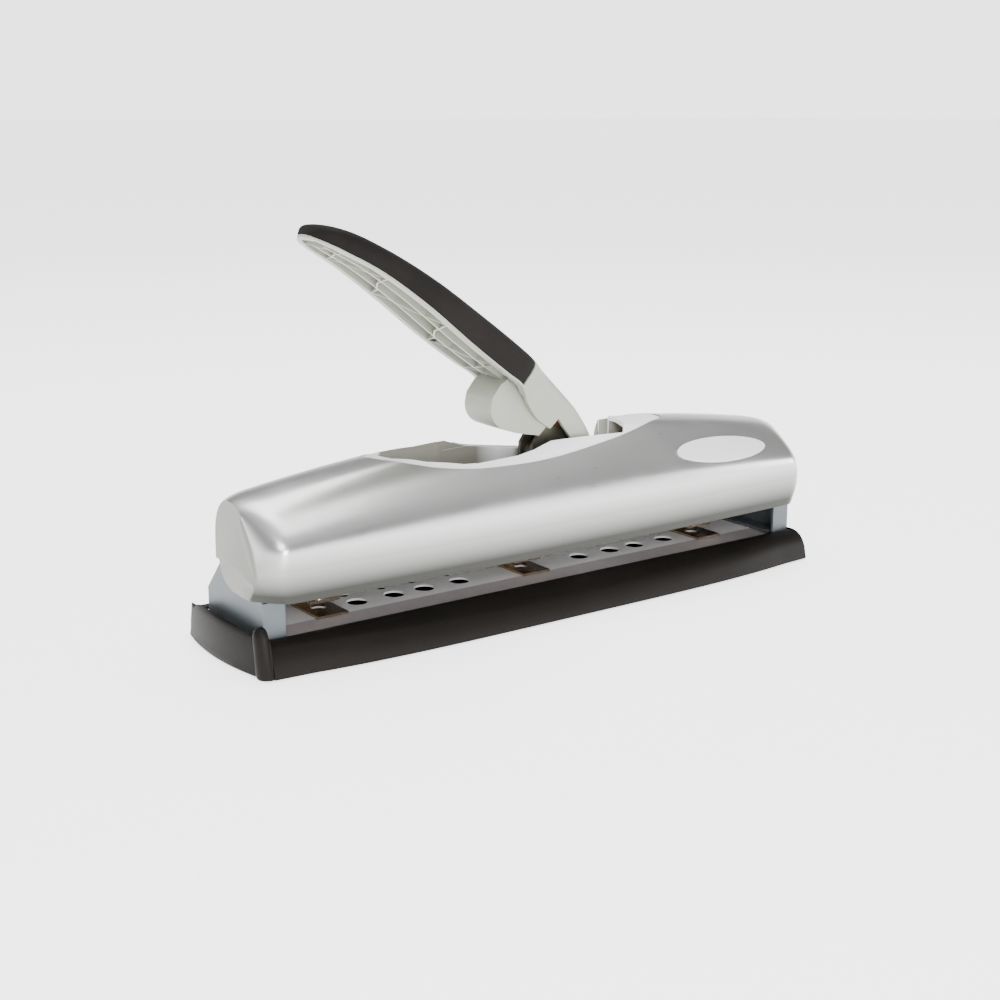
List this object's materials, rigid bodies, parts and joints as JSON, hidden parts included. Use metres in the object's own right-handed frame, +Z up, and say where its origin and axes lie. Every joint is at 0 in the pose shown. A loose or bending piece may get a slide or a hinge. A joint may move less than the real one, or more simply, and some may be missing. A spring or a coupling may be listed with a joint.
{
  "type": "hole punch",
  "caption": "Desktop paper punch with a raised hinged hand lever, arched cover, sliding punch heads on a steel die plate and a pull-out chip drawer.",
  "frame": {"origin": "middle of the base, on the surface that the feet stand on", "axes": "+X along the punch to its right end, +Y to the back, -Y to the user and the paper slot, +Z up"},
  "size_m": [0.315, 0.0824, 0.1759],
  "materials": {
    "silver": "satin metallic silver paint",
    "pale_silver": "pale satin silver plastic",
    "black_plastic": "satin moulded black plastic",
    "rubber": "soft matte rubber",
    "light_plastic": "light grey-green moulded plastic",
    "zinc_steel": "bright zinc plated sheet steel",
    "bright_steel": "ground and polished steel",
    "dark_steel": "dark phosphated steel",
    "bronze_zinc": "yellow passivated zinc plated steel",
    "badge": "blank satin badge plate"
  },
  "bodies": {
    "base": {"base_body": "black_plastic", "foot_front_left": "rubber", "foot_front_right": "rubber", "foot_back_left": "rubber", "foot_back_right": "rubber", "die_plate": "zinc_steel", "cheek_left": "zinc_steel", "cheek_right": "zinc_steel", "upper_frame": "zinc_steel", "rear_frame": "zinc_steel", "cover": "silver", "top_bezel": "pale_silver", "badge_plate": "badge", "guide_post_left": "zinc_steel", "guide_post_right": "zinc_steel", "pivot_bracket_front": "zinc_steel", "pivot_bracket_back": "zinc_steel", "pivot_pin": "bright_steel", "head_frame_middle": "bronze_zinc", "head_latch_middle": "bronze_zinc", "return_spring_middle": "bright_steel"},
    "drawer": {"chip_drawer": "black_plastic", "drawer_end_cap": "black_plastic"},
    "handle": {"handle_body": "light_plastic", "handle_grip": "rubber", "lever_plate_front": "dark_steel", "lever_plate_back": "dark_steel", "drive_pin": "bright_steel"},
    "link": {"drive_link": "dark_steel"},
    "bar": {"pressure_bar": "dark_steel", "bar_pin": "bright_steel"},
    "head_left": {"head_frame_left": "bronze_zinc", "return_spring_left": "bright_steel"},
    "head_right": {"head_frame_right": "bronze_zinc", "return_spring_right": "bright_steel"},
    "latch_left": {"head_latch_left": "bronze_zinc"},
    "latch_right": {"head_latch_right": "bronze_zinc"},
    "punch_left": {"punch_pin_left": "bright_steel", "pin_collar_left": "dark_steel"},
    "punch_middle": {"punch_pin_middle": "bright_steel", "pin_collar_middle": "dark_steel"},
    "punch_right": {"punch_pin_right": "bright_steel", "pin_collar_right": "dark_steel"}
  },
  "joints": [
    {"name": "handle_hinge", "type": "hinge", "parent": "base", "child": "handle", "pos_m": [0.024, -0.0028, 0.063], "axis": [0, -1, 0], "range_deg": [0, 30], "stiffness_Nm_per_rad": 0.9, "springref_deg": -20.05},
    {"name": "link_pivot", "type": "hinge", "parent": "handle", "child": "link", "pos_m": [0.00468, -0.0008, 0.06818], "axis": [0, -1, 0], "range_deg": [-30.01, 0]},
    {"name": "pressure_bar_slide", "type": "slide", "parent": "base", "child": "bar", "axis": [0, 0, -1], "range_m": [0, 0.01036]},
    {"name": "punch_left_slide", "type": "slide", "parent": "head_left", "child": "punch_left", "axis": [0, 0, -1], "range_m": [0, 0.01036], "deforming": ["return_spring_left"]},
    {"name": "punch_middle_slide", "type": "slide", "parent": "base", "child": "punch_middle", "axis": [0, 0, -1], "range_m": [0, 0.01036], "deforming": ["return_spring_middle"]},
    {"name": "punch_right_slide", "type": "slide", "parent": "head_right", "child": "punch_right", "axis": [0, 0, -1], "range_m": [0, 0.01036], "deforming": ["return_spring_right"]},
    {"name": "head_left_slide", "type": "slide", "parent": "base", "child": "head_left", "axis": [1, 0, 0], "range_m": [0, 0.07303]},
    {"name": "head_right_slide", "type": "slide", "parent": "base", "child": "head_right", "axis": [1, 0, 0], "range_m": [-0.07303, 0]},
    {"name": "latch_left_lift", "type": "slide", "parent": "head_left", "child": "latch_left", "axis": [0, 0, 1], "range_m": [0, 0.0018], "stiffness_N_per_m": 400, "springref_m": -0.001},
    {"name": "latch_right_lift", "type": "slide", "parent": "head_right", "child": "latch_right", "axis": [0, 0, 1], "range_m": [0, 0.0018], "stiffness_N_per_m": 400, "springref_m": -0.001},
    {"name": "chip_drawer_slide", "type": "slide", "parent": "base", "child": "drawer", "axis": [-1, 0, 0], "range_m": [0, 0.12]}
  ],
  "couplings": [
    {"joint": "link_pivot", "follows": "handle_hinge", "ratio": -1},
    {"joint": "pressure_bar_slide", "follows": "handle_hinge", "m_per_rad": 0.019772},
    {"joint": "punch_left_slide", "follows": "handle_hinge", "m_per_rad": 0.019772},
    {"joint": "punch_middle_slide", "follows": "handle_hinge", "m_per_rad": 0.019772},
    {"joint": "punch_right_slide", "follows": "handle_hinge", "m_per_rad": 0.019772}
  ]
}
